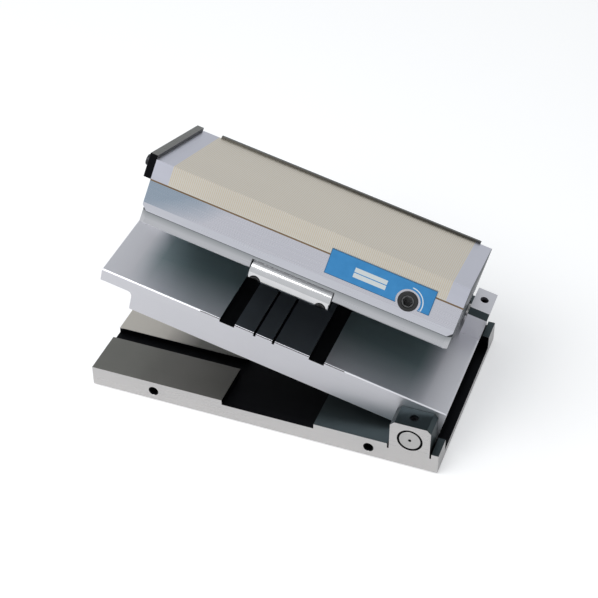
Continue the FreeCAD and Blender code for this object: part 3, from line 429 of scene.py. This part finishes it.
plate_zones = (
    (shade_under_chuck, rgb(0.34, 0.42, 0.43), rgb(0.25, 0.32, 0.33), 0.02),
    (shaded_block_chamfers, painted_shade_light, painted_shade_dull, 0.1),
    (seat_land, rgb(0.16, 0.18, 0.20), rgb(0.10, 0.115, 0.13), 0.05),
    (plate_relief, relief_light, relief_dull, 0.2),
)
plate_light = rgb(0.76, 0.755, 0.79)
plate_dull = rgb(0.68, 0.675, 0.71)
plate_finish = ground_steel("ground_swivel_plate", plate_axes, plate_light, plate_dull, plate_zones, 0.3)
wear("swivel_plate", plate_finish)

# ------------------------------------------------------------------------------ sine rollers
# Hardened rollers, polished bright. The upper one has two screw holes painted on its lower near side, their
# insides painted black as painted shade.


def polished_steel(name, axes, holes=None):
    """Bright polished steel, with screw holes painted on where holes says so, their insides painted shade.
    """
    finish = Finish(name, Metallic=1.0)
    spot = finish.place(axes)
    clouds = finish.noise(spot, (120, 120, 120), 2.0)
    scuffs = finish.noise(spot, (60, 2500, 2500), 2.0)
    colour = finish.blend(clouds, rgb(0.74, 0.735, 0.74), rgb(0.84, 0.835, 0.84))
    if holes is not None:
        hole_shade, head = holes(finish, spot)
        # The inside of each hole is painted near black as painted shade; the heads are black screw steel.
        colour = finish.blend(hole_shade, colour, rgb(0.004, 0.004, 0.004))
        colour = finish.blend(head, colour, rgb(0.05, 0.05, 0.05))
    dents = finish.bump(scuffs, 0.000004, 0.3)
    finish.vary(Base_Color=colour, Roughness=0.09 + scuffs * 0.08, Normal=dents)
    return finish


roller_low, roller_high = corners("upper_sine_roller", chuck_axes)
roller_middle = (roller_low + roller_high) / 2
screw_half_spacing = 26.5 * MM
hole_radius = 4.5 * MM
head_outer = 3.6 * MM
head_inner = 2.3 * MM


def slanted_holes(finish, spot):
    """Two screw holes painted on the roller's lower near side, their insides as painted shade, and the screw
    heads' chamfers in them.
    """
    x, y, z = finish.split(spot)
    along = (x - roller_middle.x).size() - screw_half_spacing
    across = ((y - roller_middle.y) - (z - roller_middle.z)) * math.sqrt(0.5)
    outward = (y - roller_middle.y) + (z - roller_middle.z)
    radius = along.radius(across)
    hole_shade = (radius < hole_radius) * (outward < 0.0)
    head = (radius < head_outer) * (radius > head_inner) * (outward < 0.0)
    return hole_shade, head


wear("lower_sine_roller", polished_steel("polished_lower_roller", plate_axes))
wear("upper_sine_roller", polished_steel("polished_upper_roller", chuck_axes, slanted_holes))

# ------------------------------------------------------------------------------ chuck body
# The sine plate, bottom cover and housing are ground together on their long faces. The separator sheet,
# the top plate and the brass between its poles lie above them.

housing_low, housing_high = corners("chuck_housing", chuck_axes)
shade_start = housing_low.z - 12 * MM
shade_end = housing_low.z - 7 * MM
joint_height = housing_low.z - 6.9 * MM
end_depth = 0.3 * MM


def shaded_right_end(finish, spot):
    """The end face beside the right hinge block, painted dark as painted shade."""
    x, y, z = finish.split(spot)
    return x > housing_high.x - end_depth


def sine_shade(finish, spot):
    """The sine plate, darker towards its joint with the cover."""
    x, y, z = finish.split(spot)
    return z.ramp(shade_start, shade_end) * 0.8


def joint_shadow(finish, spot):
    """The painted shadow under the cover's overhang, along the sine plate's joint with the cover."""
    x, y, z = finish.split(spot)
    return z > joint_height


# Painted shade on the right end faces of the chuck's layers.
shaded_end_zone = (shaded_right_end, rgb(0.16, 0.17, 0.18), rgb(0.11, 0.12, 0.125), 0.15)
sine_zones = (
    (sine_shade, rgb(0.36, 0.38, 0.39), rgb(0.28, 0.30, 0.31), 0.05),
    (joint_shadow, rgb(0.08, 0.085, 0.09), rgb(0.05, 0.055, 0.06), 0.1),
    shaded_end_zone,
)
sine_light = rgb(0.70, 0.70, 0.72)
sine_dull = rgb(0.60, 0.60, 0.62)
cover_light = rgb(0.79, 0.79, 0.84)
cover_dull = rgb(0.72, 0.72, 0.78)
sine_finish = ground_steel("ground_sine_plate", chuck_axes, sine_light, sine_dull, sine_zones)
cover_finish = ground_steel("ground_cover", chuck_axes, cover_light, cover_dull, (shaded_end_zone,))


def housing_steel():
    """Ground steel, bluer towards the left end and the top, and paler towards the bottom."""
    finish = Finish("ground_housing", Metallic=1.0)
    spot = finish.place(chuck_axes)
    x, y, z = finish.split(spot)
    marks = finish.noise(spot, (14, 1500, 1500), 3.0, 0.6)
    clouds = finish.noise(spot, (18, 25, 25), 3.0)
    drift = (x - housing_low.x) * 12.0 + clouds * 0.5 - 0.25 + (housing_high.z - z) * 20.0
    blue = {"stops": [(0.35, rgb(0.36, 0.45, 0.55)), (0.85, rgb(0.74, 0.73, 0.79))]}
    colour = finish.node("ShaderNodeValToRGB", blue, {"Fac": drift}, "Color")
    colour = finish.blend(marks * 0.35, colour, rgb(0.60, 0.60, 0.64))
    # The right end face is painted dark as painted shade.
    colour = finish.blend(shaded_right_end(finish, spot), colour, rgb(0.14, 0.15, 0.16))
    scratches = finish.bump(marks, 0.00001, 0.5)
    finish.vary(Base_Color=colour, Roughness=0.22 + marks * 0.12, Normal=scratches)
    return finish


wear("sine_plate", sine_finish)
wear("bottom_cover", cover_finish)
wear("chuck_housing", housing_steel())


def plain_brass(name, light, dull):
    finish = Finish(name, Metallic=1.0)
    spot = finish.place(chuck_axes)
    marks = finish.noise(spot, (30, 900, 900), 2.0)
    finish.vary(Base_Color=finish.blend(marks, dull, light), Roughness=0.28 + marks * 0.12)
    return finish


wear("separator_sheet", plain_brass("separator_brass", rgb(0.30, 0.20, 0.11), rgb(0.20, 0.13, 0.07)))
wear("pole_spacers", plain_brass("pole_brass", rgb(0.80, 0.68, 0.50), rgb(0.70, 0.58, 0.42)))
pole_light = rgb(0.84, 0.80, 0.72)
pole_dull = rgb(0.76, 0.72, 0.65)
top_low, top_high = corners("top_plate", chuck_axes)
plain_length = 14 * MM


def plain_ends(finish, spot):
    """The plain steel at both ends of the work face."""
    x, y, z = finish.split(spot)
    return (x < top_low.x + plain_length).either(x > top_high.x - plain_length)


end_zone = (plain_ends, rgb(0.72, 0.72, 0.80), rgb(0.64, 0.645, 0.72), 0.0)
top_zones = (end_zone, shaded_end_zone)
wear("top_plate", ground_steel("ground_poles", chuck_axes, pole_light, pole_dull, top_zones, 0.26))

# ------------------------------------------------------------------------------ name plate
# Blue printed aluminium with two blank silver fields, and a white arc on the right of the switch.

name_low, name_high = corners("name_plate", chuck_axes)
name_middle = (name_low + name_high) / 2
rim_width = 0.5 * MM
bush_low, bush_high = corners("shaft_bush", chuck_axes)
switch_centre = (bush_low + bush_high) / 2
arc_inner = 10.9 * MM
arc_outer = 11.7 * MM


def switch_arc(finish, spot):
    """The white arc, with the tip of its arrow at the plate's lower edge."""
    x, y, z = finish.split(spot)
    across = x - switch_centre.x
    above = z - switch_centre.z
    radius = across.radius(above)
    arc = (radius > arc_inner) * (radius < arc_outer) * (across > 0.0) * (above > across * -0.58)
    head = (across - 9.6 * MM).size() * 1.6 + (above + 5.0 * MM).size() * 0.7
    return arc.either(head < 1.5 * MM)


def printed_plate():
    finish = Finish("blue_name_plate", Metallic=0.25)
    spot = finish.place(chuck_axes)
    x, y, z = finish.split(spot)
    clouds = finish.noise(spot, (160, 160, 160), 2.0)
    blue = finish.blend(clouds, rgb(0.025, 0.20, 0.46), rgb(0.045, 0.26, 0.56))
    field_left = name_low.x + 21 * MM
    field_right = name_low.x + 46.5 * MM
    field_top = name_high.z - 6.8 * MM
    field_low = field_top - 7.7 * MM
    field_middle = (field_top + field_low) / 2
    field = (x > field_left) * (x < field_right) * (z > field_low) * (z < field_top)
    field = field * ((z - field_middle).size() > 0.35 * MM)
    colour = finish.blend(field, blue, rgb(0.62, 0.66, 0.66))
    colour = finish.blend(switch_arc(finish, spot), colour, rgb(0.66, 0.72, 0.76))
    half_length = name_high.x - name_middle.x - rim_width
    half_height = name_high.z - name_middle.z - rim_width
    past_end = (x - name_middle.x).size() > half_length
    rim = past_end.either((z - name_middle.z).size() > half_height)
    colour = finish.blend(rim, colour, rgb(0.02, 0.12, 0.26))
    finish.vary(Base_Color=colour, Roughness=0.34 + clouds * 0.1)
    return finish


wear("name_plate", printed_plate())

# ------------------------------------------------------------------------------ switch
# A steel shaft with a hexagon socket turns in a black bush. Inside, it slides the magnet carrier on white
# runners.


def moulded(name, dark, pale, rough):
    finish = Finish(name)
    spot = finish.place(base_axes)
    clouds = finish.noise(spot, (900, 900, 900), 2.0)
    finish.vary(Base_Color=finish.blend(clouds, dark, pale), Roughness=rough + clouds * 0.1)
    return finish


wear("shaft_bush", moulded("bush_black", rgb(0.008, 0.008, 0.008), rgb(0.016, 0.016, 0.016), 0.35))
wear("shaft_seal", moulded("seal_black", rgb(0.01, 0.01, 0.01), rgb(0.02, 0.02, 0.02), 0.5))
wear("carrier_runners", moulded("runner_white", rgb(0.7, 0.7, 0.68), rgb(0.78, 0.78, 0.76), 0.4))
shaft_light = rgb(0.20, 0.20, 0.20)
shaft_dull = rgb(0.10, 0.10, 0.10)
carrier_light = rgb(0.8, 0.8, 0.81)
carrier_dull = rgb(0.7, 0.7, 0.71)
wear("switch_shaft", turned_steel("shaft_steel", chuck_axes, shaft_light, shaft_dull))
wear("magnet_carrier", turned_steel("carrier_aluminium", chuck_axes, carrier_light, carrier_dull))
wear("magnet_bars", moulded("magnet_grey", rgb(0.10, 0.10, 0.105), rgb(0.15, 0.15, 0.155), 0.5))
wear("carrier_poles", turned_steel("carrier_pole_steel", chuck_axes))

# ------------------------------------------------------------------------------ stops
# Flat bars at the left end and along the back. The end stop is black but for its top.

stop_low, stop_high = corners("end_stop", chuck_axes)


def stop_sides(finish, spot):
    """All of the stop but its top, left black."""
    x, y, z = finish.split(spot)
    return z < stop_high.z - skin


side_zone = (stop_sides, relief_light, relief_dull, 0.1)
stop_light = rgb(0.20, 0.20, 0.185)
stop_dull = rgb(0.13, 0.13, 0.12)
wear("end_stop", ground_steel("dark_end_stop", chuck_axes, stop_light, stop_dull, (side_zone,)))
rail_light = rgb(0.10, 0.10, 0.095)
rail_dull = rgb(0.06, 0.06, 0.058)
wear("back_rail", ground_steel("dark_back_rail", chuck_axes, rail_light, rail_dull))

# ------------------------------------------------------------------------------ floor, sky and lamp
# A white table in a white room, with one large soft lamp above the near left side. The camera sees the
# room brighter than it lights the steel.

table_half_width = 3.0
table_gap = 0.3 * MM
table_glow = 0.30


def white_table():
    sheet = bpy.data.meshes.new("table")
    shape = bmesh.new()
    bmesh.ops.create_grid(shape, x_segments=1, y_segments=1, size=table_half_width)
    bmesh.ops.translate(shape, verts=shape.verts, vec=(0, 0, -table_gap))
    shape.to_mesh(sheet)
    shape.free()
    table = bpy.data.objects.new("table", sheet)
    bpy.context.collection.objects.link(table)
    material = bpy.data.materials.new("table_white")
    material.use_nodes = True
    nodes = material.node_tree.nodes
    links = material.node_tree.links
    nodes.clear()
    output = nodes.new("ShaderNodeOutputMaterial")
    matt = nodes.new("ShaderNodeBsdfDiffuse")
    matt.inputs["Color"].default_value = rgb(0.8, 0.8, 0.8)
    glow = nodes.new("ShaderNodeEmission")
    rays = nodes.new("ShaderNodeLightPath")
    seen = nodes.new("ShaderNodeMath")
    seen.operation = "MULTIPLY"
    seen.inputs[1].default_value = table_glow
    links.new(rays.outputs["Is Camera Ray"], seen.inputs[0])
    links.new(seen.outputs[0], glow.inputs["Strength"])
    both = nodes.new("ShaderNodeAddShader")
    links.new(matt.outputs[0], both.inputs[0])
    links.new(glow.outputs[0], both.inputs[1])
    links.new(both.outputs[0], output.inputs["Surface"])
    sheet.materials.append(material)


white_table()

sky = bpy.data.worlds.new("white_room")
bpy.context.scene.world = sky
sky.use_nodes = True
sky_nodes = sky.node_tree.nodes
room = sky_nodes["Background"]
room.inputs["Color"].default_value = rgb(0.94, 0.97, 1.0)
room.inputs["Strength"].default_value = 0.66
sky_links = sky.node_tree.links
backdrop = sky_nodes.new("ShaderNodeBackground")
backdrop.inputs["Color"].default_value = rgb(1, 1, 1)
backdrop.inputs["Strength"].default_value = 1.0
sight = sky_nodes.new("ShaderNodeLightPath")
choice = sky_nodes.new("ShaderNodeMixShader")
sky_links.new(sight.outputs["Is Camera Ray"], choice.inputs[0])
sky_links.new(room.outputs[0], choice.inputs[1])
sky_links.new(backdrop.outputs[0], choice.inputs[2])
sky_links.new(choice.outputs[0], sky_nodes["World Output"].inputs["Surface"])

lamp_place = Vector((-0.5, -0.7, 1.2))
lamp_target = Vector((0, -0.1, 0.0))
light = bpy.data.lights.new("overhead_lamp", "AREA")
light.shape = "RECTANGLE"
light.size = 1.1
light.size_y = 1.1
light.energy = 11
lamp = bpy.data.objects.new("overhead_lamp", light)
bpy.context.collection.objects.link(lamp)
aim = (lamp_target - lamp_place).to_track_quat("-Z", "Y").to_matrix().to_4x4()
lamp.matrix_world = Matrix.Translation(lamp_place) @ aim
